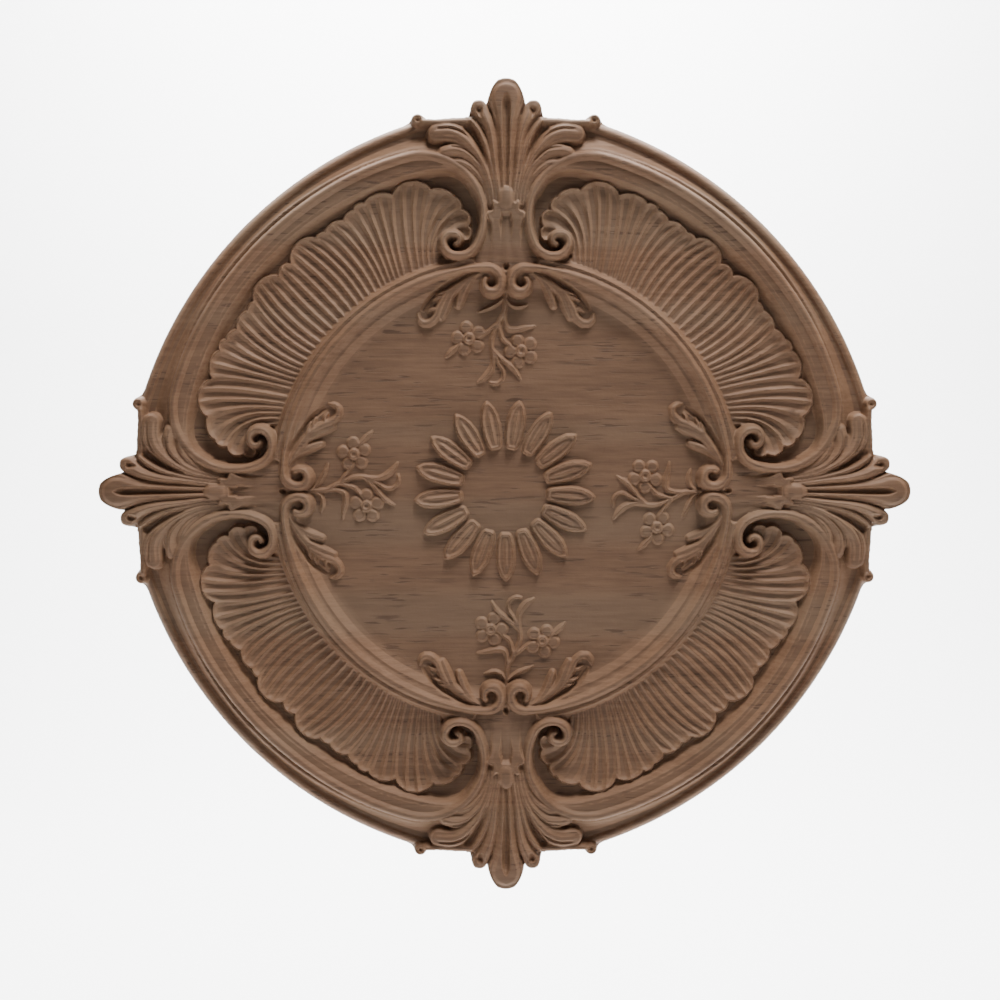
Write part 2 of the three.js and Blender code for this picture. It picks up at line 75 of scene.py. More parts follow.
# Plan sizes in millimetres; arcs are [radius, sweep in degrees] from the diagonal inwards
BEAD_START = 170
BEAD_ARCS = [[161, 30], [29.5, 131], [10.2, 82], [6.4, 70], [4.4, 129], [2.4, 130]]
BEAD_HALF_WIDTH = 2.4
BEAD_REACH = 30  # how far from its bead a frame may reach
FRAME_END = 1.62  # place along the bead's arcs where the frame ends
VOLUTE_START = 1.5  # place along the bead's arcs from which the bead stands alone
RIM_CENTRE = -17.6
RIM_RADIUS = 207.5
RIM_START = 70.9  # angle in degrees where the rim comes out from behind the knob
RIM_WIDTH = 6
COVE_START = 3.9  # from the bead's line out to the top of the cove
COVE_CURVE = 1.6
TORUS_RADIUS = 110
TORUS_LINE = 108.2  # radius of the fine line cut in the torus
TORUS_ARCS = [[111, 33.5], [60, 11.3], [7.2, 97], [4.4, 76], [4, 137]]
SHELL_CENTRE = -14
SHELL_RADIUS = 134
FLUTE_POINTS = 520  # points along a flute, close enough to leave no gap in the grid
NOTCH_DEPTH = 1.1
ROSETTE_RADIUS = 45
ROSETTE_EYE = 21
ROSETTE_SHIFT = 0.7  # how far the rosette's middle lies left of the medallion's
PETALS = 17
FIRST_PETAL = 271  # angle in degrees of the petal that is laid first
KNOB_PLACE = (42.9, 180.3)
STEM_RISE = 1.8  # from the field up to the top of a spray's stems
SINK = 0.3  # from the field down to the foot of a small form
FINIAL_FOOT = 11.4
SCROLL_PIT = 8.6

# Grid and mesh, in millimetres and degrees
MARGIN_CELLS = 5  # cells that a quarter reaches past both axes
QUARTER_REACH = 203
SPRAY_WINDOW = (-60, 100)
SHARP_ANGLE = 64  # angle between two faces from which their edge stays sharp

# Profiles as stations of (distance, height)
GROUND_FROM_MIDDLE = [
    (96.6, FIELD), (98.4, FIELD + 0.25), (100.6, FIELD + 0.9), (103, FIELD + 2.3), (104.6, FIELD + 3.2),
    (105.4, FIELD + 3.1), (106.4, RING_SEAT), (113.1, THIN_BEAD - 0.6), (113.5, THIN_BEAD - 0.6),
    (113.8, THIN_BEAD - 0.1), (114.2, THIN_BEAD), (114.6, THIN_BEAD - 0.4), (115, THIN_BEAD - 1.5),
    (115.5, THIN_BEAD - 2.8), (116.4, SHELL_ROOT), (117.6, RECESS + 2), (119.4, RECESS),
]
RIM_FROM_EDGE = [
    (0, RIM_EDGE), (0.7, 5.8), (1.4, 7.1), (2.2, 7.9), (3, RIM - 0.2), (4, RIM), (4.8, RIM - 0.2),
    (5.4, RIM - 1), (RIM_WIDTH, COVE),
]
RIDGE_FROM_BEAD = [
    (1.5, SECOND_RIDGE - 1), (1.8, SECOND_RIDGE - 1), (2.2, SECOND_RIDGE - 0.4), (3, SECOND_RIDGE),
    (3.6, SECOND_RIDGE - 0.1), (COVE_START, SECOND_RIDGE - 0.4),
]
BAND_FROM_BEAD = [
    (0, BAND + 0.2), (3, BAND + 0.3), (3.6, BAND + 0.4), (6.2, BAND + 0.1), (6.8, BAND - 0.5),
    (7.4, BAND - 0.1), (8.2, BAND - 0.4), (8.9, BAND - 1.4), (9.8, BAND - 3.2), (11.1, RECESS + 1),
    (12.4, RECESS), (14, 0),
]
KNOB_FROM_MIDDLE = [(0, 10.2), (0.7, 10.4), (1.1, KNOB + 0.8), (2.2, KNOB + 1), (3.2, 10.4), (3.7, 0)]
CALYX_FROM_EDGE = [(0, 0), (0.2, 2.2), (0.5, 2.9), (1, 3.1), (1.6, 2.7), (2.4, 2.4)]

# Profiles of the shell, by the share of a flute passed from its root
SHELL_GROUND = [
    (0, SHELL_ROOT), (0.07, SHELL_ROOT), (0.3, 9.6), (0.6, SHELL_HOLLOW), (0.85, 9.4), (0.96, 10.4),
    (1, SHELL_LIP),
]
FLUTE_DEPTH = [(0, 1), (0.1, 2), (0.5, 2.8), (0.8, 2.8), (0.93, 2.3), (1, 0.9)]
LIP_RISE = [(0.93, 0), (0.96, 0.2), (0.985, 1.2), (1, 0.5)]

# Torus and scroll, by the arcs passed: half width and height
TORUS_HALF_WIDTH = [
    (0, 3), (0.4, 3), (0.7, 2.8), (1, 1.9), (1.6, 1.9), (2, 2.2), (2.6, 2.6), (3, 2.8), (3.6, 2.9),
    (4, 2.8), (4.35, 2.4), (4.7, 1.9), (5, 1.7),
]
TORUS_HEIGHT = [(0, RING), (0.7, RING), (1.3, SCROLL), (4.2, SCROLL), (5, 14.6)]

# Stem and finial, by the distance above the centre: half width, and height of the ground
SHAFT_SIDE = [(108, 13), (113, 16), (118, 13.6), (124, 11.4), (132, 9.4), (158, 9.4)]
FINIAL_WIDTH = [(126, 0), (140, 9), (150, 11), (160, 15), (170, 21), (178, 25), (180, 20)]
FINIAL_GROUND = [(126, 11.4), (150, 13), (162, 13.2), (180, 12.4)]

# Half width of a rosette petal in millimetres, by the share of its length
PETAL_WIDTH = [
    (0, 1.6), (0.03, 2.7), (0.1, 3.4), (0.25, 4.1), (0.48, 4.6), (0.68, 4.2), (0.84, 3), (0.94, 1.5),
    (1, 0.05),
]

# Outline of the finial and the knob, up to the rim
OUTLINE = [
    (0, 200.2), (1.6, 200), (3.4, 199.1), (5.2, 197.4), (6.8, 195), (8, 192.2), (8.8, 189.8),
    (9.3, 188.7), (10.4, 189.6), (12.2, 190), (14.2, 189.6), (16, 188.2), (17.2, 186), (17.8, 183.8),
    (18.4, 182.3), (20, 181.6), (25, 181.4), (30, 180.9), (35, 180.3), (38, 181.2), (40, 182.9),
    (42.6, 184), (45, 183.2), (46.6, 181.4), (47.6, 180),
]

# Notches of the shell's lobed edge, and the bulge of each lobe as a share of its width
SHELL_NOTCHES = [
    (19, 122.5), (18.6, 129.2), (22.5, 137), (25.3, 143.2), (36.5, 146.5), (55.3, 143.8),
    (69, 140.3), (74.3, 137), (79, 131.5), (88.2, 126), (92.7, 123.2), (104.6, 110.6), (110.6, 104.6),
]
LOBE_BULGE = [0.3, 0.36, 0.28, 0.2, 0.32, 0.22, 0.28, 0.2, 0.22, 0.22, 0.31, 0.34]
RIDGES_IN_LOBE = [0, 0, 0, 0, 2, 1, 0, 0, 1, 0, 3, 1]
FLUTE_ANGLES = [92, 84, 82, 82, 80, 78, 75, 74, 73, 72, 70, 68, 65, 62, 60, 57, 54, 50, 45]
FLUTE_BENDS = [
    0.79, 0.72, 0.66, 0.6, 0.62, 0.66, 0.68, 0.66, 0.62, 0.6, 0.57, 0.56, 0.55, 0.54, 0.53, 0.52,
    0.5, 0.5, 0.5,
]

# Ridges of the shell, counted from the volute, and the angles of their roots round its centre
ROOT_RIDGES = [0, 4.5, 6, 11, 14.6, 18]
ROOT_ANGLES = [69.5, 64.4, 61.6, 56.2, 51, 45]

# Lobes of half a finial as stations of (u, v, half width, height), the lowest lobe first
FINIAL_LOBES = [
    [(9.4, 140, 0.8, 13.4), (10.6, 148, 1.4, 14), (13.4, 153, 2, 15), (17.4, 157, 2.4, 15.8),
     (21.6, 159.2, 2.6, 15.8), (25, 159.8, 2.2, 15.2)],
    [(7.8, 139, 0.9, 13.8), (8.8, 147, 1.5, 14.6), (11.6, 155.2, 2.1, 15.6), (16, 160.8, 2.7, 16.2),
     (20.6, 164.2, 3.1, 16.4), (25.6, 165.2, 3.4, 16.4), (30, 164.4, 3.3, 15.8)],
    [(6.2, 138, 0.9, 14), (7.2, 147, 1.5, 15), (9.6, 155, 2.3, 16), (13.4, 162.4, 3, 16.6),
     (17.8, 168.2, 3.8, 16.8), (22.6, 172, 4.6, 16.4), (28, 173.6, 4.8, 16), (34, 173.2, 4.6, 15.2)],
    [(4.8, 138, 0.8, 14.2), (5.2, 146, 1.2, 15), (7.2, 157, 1.6, 16), (9.6, 166.4, 1.9, 16.2),
     (12.4, 173, 1.9, 15.8), (15, 177, 1.8, 15.2), (17.2, 179.6, 1.2, 14.6)],
    [(3.4, 138, 0.9, 14.4), (3.7, 146, 1.3, 15.4), (5.4, 158, 1.8, 16.6), (6.6, 169, 2.3, 17),
     (8.8, 177.6, 3, 16.8), (11.4, 183, 3.8, 16), (13.2, 185.6, 4.4, 15.4)],
]
FINIAL_CENTRE = [
    (0, 136, 2, 14), (0, 144, 2.8, 15.2), (0, 152, 3.4, 16), (0, 165, 4.2, 17), (0, 177, 5.6, 17.2),
    (0, 184, 7.6, 17.2), (0, 188.4, 9.3, 17), (0, 190.8, 9.5, 16.8),
]

# Bar that carries the rim on behind a finial, as stations of (u, v, half width)
RIM_BAR = [(17, 179.1, 2.7), (24, 179.1, 2.6), (32, 178.7, 2.5), (40, 179, 2.1)]

# Grooves cut in half a finial as stations of (u, v, half width, depth)
FINIAL_GROOVES = [
    [(0, 147, 1, 2), (0, 165, 1.4, 3), (0, 178, 1.7, 3.8), (0, 187, 1.9, 3.6), (0, 191.4, 0.7, 1)],
    [(12.4, 181.6, 0.9, 0.8), (12.9, 184.6, 1.5, 3)],
    [(9.6, 158, 0.5, 1), (12.8, 166, 1.2, 2.2), (16.2, 172.4, 1.9, 2.4), (18.6, 176, 2.3, 2.2)],
    [(14, 165.4, 0.4, 0.6), (19.4, 172, 0.7, 1.1), (26, 175.4, 0.8, 1.2), (33, 175.6, 0.6, 0.9)],
    [(13.2, 159.6, 0.4, 0.6), (19.4, 165.2, 0.6, 1), (26.4, 166.8, 0.6, 0.9)],
]

# Outline of half a calyx, and its middle lobe as stations of (u, v, half width, height)
CALYX_OUTLINE = [
    (0, 148.6), (1.6, 148.1), (3, 146.2), (3.7, 143.6), (3.8, 141.4), (4.4, 140.4), (5, 141.2),
    (6, 141.4), (6.8, 140.6), (7, 139.2), (6.5, 137.6), (7.2, 136.6), (8.4, 136.3), (9.4, 135.2),
    (9.2, 133.2), (8.2, 131.2), (7.4, 128), (7.2, 123),
]
CALYX_MIDDLE = [(0, 134, 2.5, 12.5), (0, 138, 4, 15.8), (0, 142, 4.1, 16.6), (0, 144.4, 3.9, 16.6)]

# Sprig beside a scroll as stations of (u, v, half width, height)
SPRIG_LOBES = [
    [(13, 106.6, 1.1, 13.2), (18, 104, 1.9, 13.2), (24, 99.6, 2.5, 12.6), (29, 95.4, 2.4, 11.8),
     (32, 91.6, 1.8, 11.4)],
    [(27, 98.4, 0.9, 12), (31, 97.2, 1, 12), (34, 96.2, 0.3, 11.6)],
    [(30, 95.4, 0.9, 11.8), (33.4, 94.6, 1, 11.6), (36.3, 93.6, 0.3, 10.8)],
    [(33, 89, 0.9, 11.4), (36, 89, 1, 11), (38.4, 87.6, 0.3, 10.2)],
    [(15, 105.4, 1.3, 13), (19.4, 100.4, 1.9, 12.4), (22, 95, 2.1, 11.6), (23.4, 91, 1.7, 10.8)],
    [(23.6, 100.4, 1.5, 12.6), (27.2, 95, 1.8, 12), (29.8, 89.2, 1.9, 11.4), (31.6, 85, 1.4, 10.6)],
    [(28.6, 96.8, 1.5, 12.4), (32.2, 90.6, 1.9, 12), (34.2, 85.8, 1.8, 11.6), (36.8, 83, 1.8, 11.2),
     (40, 82.2, 1.7, 11), (42.3, 84, 1.3, 10.8), (43, 87, 0.4, 10)],
]

# Groove that undercuts a sprig on the side of the torus, as stations of (u, v, half width, depth)
SPRIG_SHADOW = [
    (17, 107, 0.6, 0.5), (20, 105.6, 1, 1.6), (25.4, 102.6, 1.4, 2.6), (30, 99.6, 1.5, 2.8),
    (35, 96.2, 1.5, 2.4), (38.4, 92.4, 1.4, 1.6), (40.6, 89, 1.2, 1),
]

# Blossoms of the upper spray: place and direction of one petal in degrees
BLOSSOMS = [(-18.2, 75, 103), (7.5, 69, 110)]
BLOSSOM_PETALS = 5
BLOSSOM_REACH = 5.5  # from a blossom's middle to the middle of a petal
BLOSSOM_PETAL_RADIUS = 3
BLOSSOM_RISE = 1.7
BLOSSOM_EYE = [(0, 1.7), (0.8, 1.4), (1.1, 1.5), (1.6, 2.4), (2.2, 2.4), (2.7, 1.7), (3, 0.6)]

# Stems and leaves of the upper spray as stations of (u, v, half width)
STEMS = [
    [(0, 98, 1.1), (-0.4, 93, 0.9), (-0.7, 88.5, 1), (-2.8, 84.6, 1), (-4.1, 81.6, 0.9),
     (-6.2, 77.2, 0.9), (-7.2, 73, 0.9), (-6.7, 69, 1), (-6, 65.5, 1)],
    [(-4, 82, 0.9), (-7, 80, 0.8), (-10.4, 77.4, 0.8), (-13.6, 75.6, 0.7)],
    [(-3.6, 81.4, 0.9), (-2.8, 78, 0.8), (-1.5, 74.6, 0.8), (2, 71.6, 0.7)],
    [(-5.6, 67, 0.9), (-3.4, 62.6, 0.8), (-1.5, 59.6, 0.7), (-1.1, 56.8, 0.7), (-2.6, 54.2, 0.7),
     (-5, 53, 0.7), (-8, 53.3, 0.4)],
]
LEAVES = [
    [(-0.8, 87.6, 0.8), (-0.5, 83, 1.2), (1, 79.8, 1.5), (5, 79.2, 1.7), (10, 80.4, 1.2),
     (14.4, 81, 0.2)],
    [(-6.5, 67, 0.9), (-6.3, 63, 1.3), (-7.8, 59, 1.8), (-10.6, 55.8, 1.6), (-14.2, 53.4, 0.2)],
    [(-6.3, 69.4, 0.7), (-3.5, 66.2, 1.1), (0, 63.4, 1.4), (4, 60, 1.3), (7.2, 55, 0.2)],
    [(-22.4, 72.6, 0.7), (-24.6, 70.6, 1.4), (-27, 68.4, 1.5), (-29.5, 65.8, 0.2)],
    [(0.6, 94.6, 0.5), (1.8, 92, 0.9), (4.6, 90.6, 1.2), (7.6, 90.6, 1), (10.6, 91.6, 0.2)],
    [(-0.8, 95.4, 0.5), (-3, 93, 1), (-6.4, 90.8, 1.3), (-10, 89.2, 1), (-13.8, 87.8, 0.2)],
]


# Plan of the carving

class Grid:
    """Heights over a rectangle of the plan, in millimetres."""

    def __init__(self, low, high, cell):
        self.low = low
        self.cell = cell
        self.axis = np.arange(low, high + cell / 2, cell)
        self.u, self.v = np.meshgrid(self.axis, self.axis, indexing="ij")
        self.h = np.zeros_like(self.u)

    def window(self, points, reach):
        """The part of the grid within reach of some points."""
        first = np.floor((np.min(points, axis=0) - reach - self.low) / self.cell).astype(int)
        last = np.ceil((np.max(points, axis=0) + reach - self.low) / self.cell).astype(int) + 1
        first = np.clip(first, 0, len(self.axis))
        last = np.clip(last, 0, len(self.axis))
        return slice(first[0], last[0]), slice(first[1], last[1])

    def nearest(self, line, reach):
        """Signed distance to a line, positive on its left, and how many of its points are passed."""
        distance = np.full(self.u.shape, np.inf)
        side = np.ones(self.u.shape)
        place = np.zeros(self.u.shape)
        for k in range(len(line) - 1):
            start, step = line[k], line[k + 1] - line[k]
            part = self.window(line[k:k + 2], reach)
            u = self.u[part] - start[0]
            v = self.v[part] - start[1]
            share = np.clip((u * step[0] + v * step[1]) / (step @ step), 0, 1)
            off = np.hypot(u - share * step[0], v - share * step[1])
            closer = off < distance[part]
            distance[part][closer] = off[closer]
            side[part][closer] = np.sign(step[0] * v - step[1] * u)[closer]
            place[part][closer] = (k + share)[closer]
        return np.where(side < 0, -distance, distance), place

    def sample(self, sheets):
        """Heights of sheets of dense points, and nan where there are none."""
        weights = np.zeros(self.h.size)
        sums = np.zeros(self.h.size)
        count = len(self.axis)
        for sheet in sheets:
            u = ((sheet[..., 0] - self.low) / self.cell).ravel()
            v = ((sheet[..., 1] - self.low) / self.cell).ravel()
            i, j = np.floor(u).astype(int), np.floor(v).astype(int)
            for di in (0, 1):
                for dj in (0, 1):
                    weight = (1 - np.abs(u - i - di)) * (1 - np.abs(v - j - dj))
                    inside = (i + di >= 0) & (i + di < count) & (j + dj >= 0) & (j + dj < count)
                    cell = ((i + di) * count + j + dj)[inside]
                    weights += np.bincount(cell, weight[inside], self.h.size)
                    height = sheet[..., 2].ravel()[inside]
                    sums += np.bincount(cell, weight[inside] * height, self.h.size)
        weights = weights.reshape(self.h.shape)
        covered = weights > 1.6
        heights = np.full(self.h.shape, np.nan)
        heights[covered] = sums.reshape(self.h.shape)[covered] / weights[covered]
        return heights

    def lay(self, sheets):
        """Raises the grid to sheets of dense points."""
        self.h = np.fmax(self.h, self.sample(sheets))

    def lobe(self, stations, ground, section):
        """Raises the grid to a smooth stroke through stations of (u, v, half width, height)."""
        line = smooth_line(np.array(stations, float), 12)
        self.stroke(line[:, :2], np.maximum(line[:, 2], 0.3), line[:, 3], ground, section)

    def stroke(self, line, half, height, ground, section):
        """Raises the grid to a stroke, its half width and height given at each point."""
        across, (top,) = self.across(line, half, height)
        raised = ground + (top - ground) * section(np.clip(across, 0, 1))
        self.h = np.where(across < 1, np.maximum(self.h, raised), self.h)

    def groove(self, stations):
        """Cuts a smooth stroke through stations of (u, v, half width, depth)."""
        line = smooth_line(np.array(stations, float), 12)
        across, (deep,) = self.across(line[:, :2], line[:, 2], line[:, 3])
        self.h = np.where(across < 1, self.h - deep * round_top(np.clip(across, 0, 1)), self.h)

    def across(self, line, half, *values):
        """Distance from a line as a share of its half width, and values given along it."""
        off, place = self.nearest(line, np.max(half) + self.cell)
        index = np.arange(len(line))
        share = np.abs(off) / np.interp(place, index, half)
        return share, [np.interp(place, index, value) for value in values]


def smooth_line(points, pieces):
    """A smooth line through points, with some pieces between each two."""
    points = np.asarray(points, float)
    ends = np.concatenate([2 * points[:1] - points[1:2], points, 2 * points[-1:] - points[-2:-1]])
    share = np.arange(pieces)[:, None] / pieces
    share = share.reshape((pieces,) + (1,) * (points.ndim - 1))
    spans = []
    for a, b, c, d in zip(ends, ends[1:], ends[2:], ends[3:]):
        spans.append(0.5 * (2 * b + (c - a) * share + (2 * a - 5 * b + 4 * c - d) * share ** 2
                            + (3 * b - a - 3 * c + d) * share ** 3))
    return np.concatenate(spans + [points[-1:]])


def arc_chain(start_radius, arcs, step=0.7):
    """Tangent arcs turning left from the diagonal, and the arcs passed at each point."""
    place = np.array([start_radius, start_radius]) / math.sqrt(2)
    heading = math.radians(135)
    points, passed = [place], [0.0]
    for number, (radius, sweep) in enumerate(arcs):
        centre = place + radius * np.array([-math.sin(heading), math.cos(heading)])
        pieces = max(int(radius * math.radians(sweep) / step), 8)
        for k in range(1, pieces + 1):
            turned = heading + math.radians(sweep) * k / pieces
            points.append(centre + radius * np.array([math.sin(turned), -math.cos(turned)]))
            passed.append(number + k / pieces)
        place, heading = points[-1], turned
    return np.array(points), np.array(passed)


def profile(place, stations):
    """Height or width at a place, from stations of (place, height or width)."""
    return np.interp(place, *zip(*stations))


def ramp(value, start, end):
    """0 before start and 1 after end, eased between them."""
    share = np.clip((value - start) / (end - start), 0, 1)
    return share * share * (3 - 2 * share)


# Sections of a stroke, by distance from its middle as a share of its half width

def round_top(across):
    return np.sqrt(np.clip(1 - across ** 2, 0, 1))


def full_top(across):
    return round_top(across) ** 0.6


def ridge_top(across):
    return 0.25 * round_top(across) + 0.75 * (1 - across)


def veined(across):
    return round_top(across) ** 0.85 - 0.1 * np.exp(-((across - 0.42) / 0.13) ** 2)


def edged(across):
    """A broad top with a fine line beside its edge."""
    return full_top(across) - 0.14 * np.exp(-((across - 0.74) / 0.1) ** 2)


def hollow_leaf(across):
    """A raised edge round a shallow dish."""
    return full_top(across) - 0.2 * np.exp(-(across / 0.45) ** 2)


# Forms of the carving, in the octant above the diagonal

def lay_ground(grid):
    """Recess, ring seat, fine bead and flat field."""
    grid.h = profile(np.hypot(grid.u, grid.v), GROUND_FROM_MIDDLE)


def bead_top(passed):
    """Height of the main bead, which rises as it rolls into a volute."""
    return BEAD + (VOLUTE - BEAD) * np.clip((passed - 1.3) / 2.2, 0, 1)


def inside_rim(grid):
    """Distance inside the circle of the rim."""
    return RIM_RADIUS - np.hypot(grid.u - RIM_CENTRE, grid.v - RIM_CENTRE)


def lay_frame(grid):
    """Rim, cove, second ridge, main bead and the band inside it."""
    points, passed = arc_chain(BEAD_START, BEAD_ARCS)
    keep = passed <= FRAME_END
    points, passed = points[keep], passed[keep]
    off, place = grid.nearest(points, BEAD_REACH)
    arc = np.interp(place, np.arange(len(points)), passed)
    beside = np.isfinite(off) & (place < len(points) - 1.01)
    edge = inside_rim(grid)
    outside = -off
    rim = profile(edge, RIM_FROM_EDGE)
    cove_width = np.maximum(outside + edge - COVE_START - RIM_WIDTH, 0.6)
    slope = np.clip((outside - COVE_START) / cove_width, 0, 1)
    cove_top = RIDGE_FROM_BEAD[-1][1]
    cove = COVE + (cove_top - COVE) * (1 - slope) ** COVE_CURVE
    ridge = profile(outside, RIDGE_FROM_BEAD)
    moulding = np.maximum(rim, np.where(outside > COVE_START, cove, ridge))
    crest = 1.1 * (1 - ramp(arc, 0.1, 1))
    half = BEAD_HALF_WIDTH + 0.2 * (1 - ramp(arc, 0.1, 1.2))
    foot = BAND - 0.8
    bead = foot + (bead_top(arc) - foot) * round_top(np.abs(off - crest) / half)
    band_share = 1 - 0.72 * ramp(arc, 1.02, VOLUTE_START)
    band = profile(off / band_share, BAND_FROM_BEAD)
    height = np.where(off < 0, moulding, band)
    height = np.where(np.abs(off - crest) < half, np.maximum(height, bead), height)
    height = np.where(beside, height, np.where(edge < 1.5 * RIM_WIDTH, rim, 0))
    grid.h = np.where(edge < RIM_WIDTH / 3, rim, np.maximum(grid.h, height))


def lay_volute(grid):
    """End of the main bead, rolled up beside the shaft."""
    points, passed = arc_chain(BEAD_START, BEAD_ARCS, 0.4)
    keep = passed >= VOLUTE_START
    points, passed = points[keep], passed[keep]
    tail = np.clip((passed - 3.6) / 2.4, 0, 1)
    half = BEAD_HALF_WIDTH + 0.2 * np.clip((passed - 1.6) / 0.8, 0, 1) - 0.7 * tail
    height = bead_top(passed) + (VOLUTE_EYE - VOLUTE) * tail
    grid.stroke(points, half, height, RECESS, full_top)


def shell_edge():
    """Points of the lobed edge, and where along them the ridges end."""
    points, ridges = [], []
    share = np.linspace(0, 1, 25)[:-1, None]
    spans = zip(SHELL_NOTCHES, SHELL_NOTCHES[1:], LOBE_BULGE, RIDGES_IN_LOBE)
    for start, end, bulge, between in spans:
        start, end = np.array(start), np.array(end)
        across = end - start
        left = np.array([-across[1], across[0]])
        lobe = start + across * share + left * bulge * (4 * share * (1 - share)) ** 0.6
        first = len(points)
        points.extend(lobe)
        ridges.append(first)
        for extra in range(between):
            ridges.append(first + len(lobe) * (extra + 1) / (between + 1))
    return np.array(points), np.array(ridges[1:])


def lay_shell(grid):
    """Fluted shell between the ring and the frame."""
    edge, ridges = shell_edge()
    index = np.arange(0, ridges[-1], 0.18)
    rib = np.interp(index, ridges, np.arange(len(ridges)))
    rib = rib - np.clip(1 - index / ridges[0], 0, 1)
    numbers = np.arange(len(ridges))
    angle = np.radians(np.interp(rib, ROOT_RIDGES, ROOT_ANGLES))
    root = SHELL_CENTRE + SHELL_RADIUS * np.stack([np.cos(angle), np.sin(angle)], axis=-1)
    tip = np.stack([np.interp(index, np.arange(len(edge)), side) for side in edge.T], axis=-1)
    lean = np.radians(np.interp(rib, numbers, FLUTE_ANGLES))
    bend = np.interp(rib, numbers, FLUTE_BENDS)
    reach = (bend * np.linalg.norm(tip - root, axis=1))[:, None]
    knee = root + reach * np.stack([np.cos(lean), np.sin(lean)], axis=-1)
    passed = np.linspace(0, 1, FLUTE_POINTS)
    t = passed[None, :, None]
    plan = (1 - t) ** 2 * root[:, None] + 2 * t * (1 - t) * knee[:, None] + t ** 2 * tip[:, None]
    depth = profile(passed, FLUTE_DEPTH)
    between = (rib - np.floor(rib))[:, None]
    hollow = np.sin(math.pi * between) ** 0.5 - 0.16 * np.exp(-((between - 0.5) / 0.1) ** 2)
    notches = np.cumsum(np.array(RIDGES_IN_LOBE) + 1) - 1
    crease = np.exp(-(np.abs(rib[:, None] - notches).min(axis=1, keepdims=True) / 0.08) ** 2)
    height = profile(passed, SHELL_GROUND) + depth * (0.45 - hollow) + profile(passed, LIP_RISE)
    height -= NOTCH_DEPTH * crease * ramp(passed, 0.55, 0.92)
    sheet = np.concatenate([plan, height[..., None]], axis=-1)
    grid.lay([sheet, sheet[..., [1, 0, 2]]])


def lay_torus(grid):
    """Torus round the field, which rolls into a small scroll at each axis."""
    points, passed = arc_chain(TORUS_RADIUS, TORUS_ARCS, 0.4)
    half = profile(passed, TORUS_HALF_WIDTH)
    grid.stroke(points, half, profile(passed, TORUS_HEIGHT), FIELD, full_top)
    line = np.exp(-((np.hypot(grid.u, grid.v) - TORUS_LINE) / 0.35) ** 2)
    grid.h -= 0.8 * line * ramp(grid.u, 20, 34)
    pit = np.hypot(grid.u / 1.3, (grid.v - 109.6) / 2)
    grid.h = np.where(pit < 1, np.minimum(grid.h, SCROLL_PIT + 3 * pit), grid.h)


def lay_sprigs(grid):
    """Small leaf sprigs beside the scrolls, undercut on the side of the torus."""
    grid.groove(SPRIG_SHADOW)
    for lobe in SPRIG_LOBES:
        grid.lobe(lobe, FIELD - SINK, full_top)


def lay_finial(grid):
    """Acanthus finial over the end of two frames."""
    bar = smooth_line(np.array(RIM_BAR), 8)
    grid.stroke(bar[:, :2], bar[:, 2], np.full(len(bar), RIM_BAR_TOP), RIM, round_top)
    behind = (grid.u < profile(grid.v, FINIAL_WIDTH)) & (grid.v < 182)
    grid.h = np.where(behind, np.maximum(grid.h, profile(grid.v, FINIAL_GROUND)), grid.h)
    for lobe in FINIAL_LOBES:
        grid.lobe(lobe, FINIAL_FOOT, veined)
    grid.lobe(FINIAL_CENTRE, FINIAL_FOOT, edged)
    for groove in FINIAL_GROOVES:
        grid.groove(groove)


def lay_shaft(grid):
    """Plain stem between two volutes."""
    side = profile(grid.v, SHAFT_SIDE)
    across = np.clip(grid.u / side, -1, 1)
    height = SHAFT + 0.2 - 0.7 * across ** 2 + 0.22 * np.cos(across * 5 * math.pi)
    on_shaft = (np.abs(grid.u) < side) & (grid.v > 108.2) & (grid.v < 150)
    grid.h = np.where(on_shaft, height, grid.h)


def lay_calyx(grid):
    """Small leaf over the top of the stem."""
    half = smooth_line(np.array(CALYX_OUTLINE, float), 4)
    off, _ = grid.nearest(np.concatenate([half[::-1], half[1:] * [-1, 1]]), 4)
    inside = np.where(np.isfinite(off), off, -9)
    plate = SHAFT + 0.2 + ramp(grid.v, 122, 134) * profile(inside, CALYX_FROM_EDGE)
    grid.h = np.where(inside > 0, np.maximum(grid.h, plate), grid.h)
    grid.lobe(CALYX_MIDDLE, 12, full_top)


def lay_knob(grid):
    """Curled end of the rim beside the finial's side leaf."""
    off = np.hypot(grid.u - KNOB_PLACE[0], grid.v - KNOB_PLACE[1])
    knob = profile(off, KNOB_FROM_MIDDLE)
    grid.h = np.maximum(grid.h, knob)
    grid.h = np.where(off < 1, np.minimum(grid.h, knob), grid.h)


# Flowers and rosette on the field

def lay_spray(grid):
    """Flower spray above the rosette."""
    top = FIELD + STEM_RISE
    foot = FIELD - SINK
    for stem in STEMS:
        grid.lobe([(*station, top) for station in stem], foot, round_top)
    for leaf in LEAVES:
        grid.lobe([(*station, top + 0.3) for station in leaf], foot, ridge_top)
    for u, v, lead in BLOSSOMS:
        for k in range(BLOSSOM_PETALS):
            turn = math.radians(lead + 360 / BLOSSOM_PETALS * k)
            petal_u = u + BLOSSOM_REACH * math.cos(turn)
            petal_v = v + BLOSSOM_REACH * math.sin(turn)
            off = np.hypot(grid.u - petal_u, grid.v - petal_v) / BLOSSOM_PETAL_RADIUS
            petal = FIELD + BLOSSOM_RISE * hollow_leaf(np.clip(off, 0, 1))
            grid.h = np.where(off < 1, np.maximum(grid.h, petal), grid.h)
        off = np.hypot(grid.u - u, grid.v - v)
        eye = FIELD + profile(off, BLOSSOM_EYE)
        grid.h = np.where(off < BLOSSOM_EYE[-1][0], eye, grid.h)


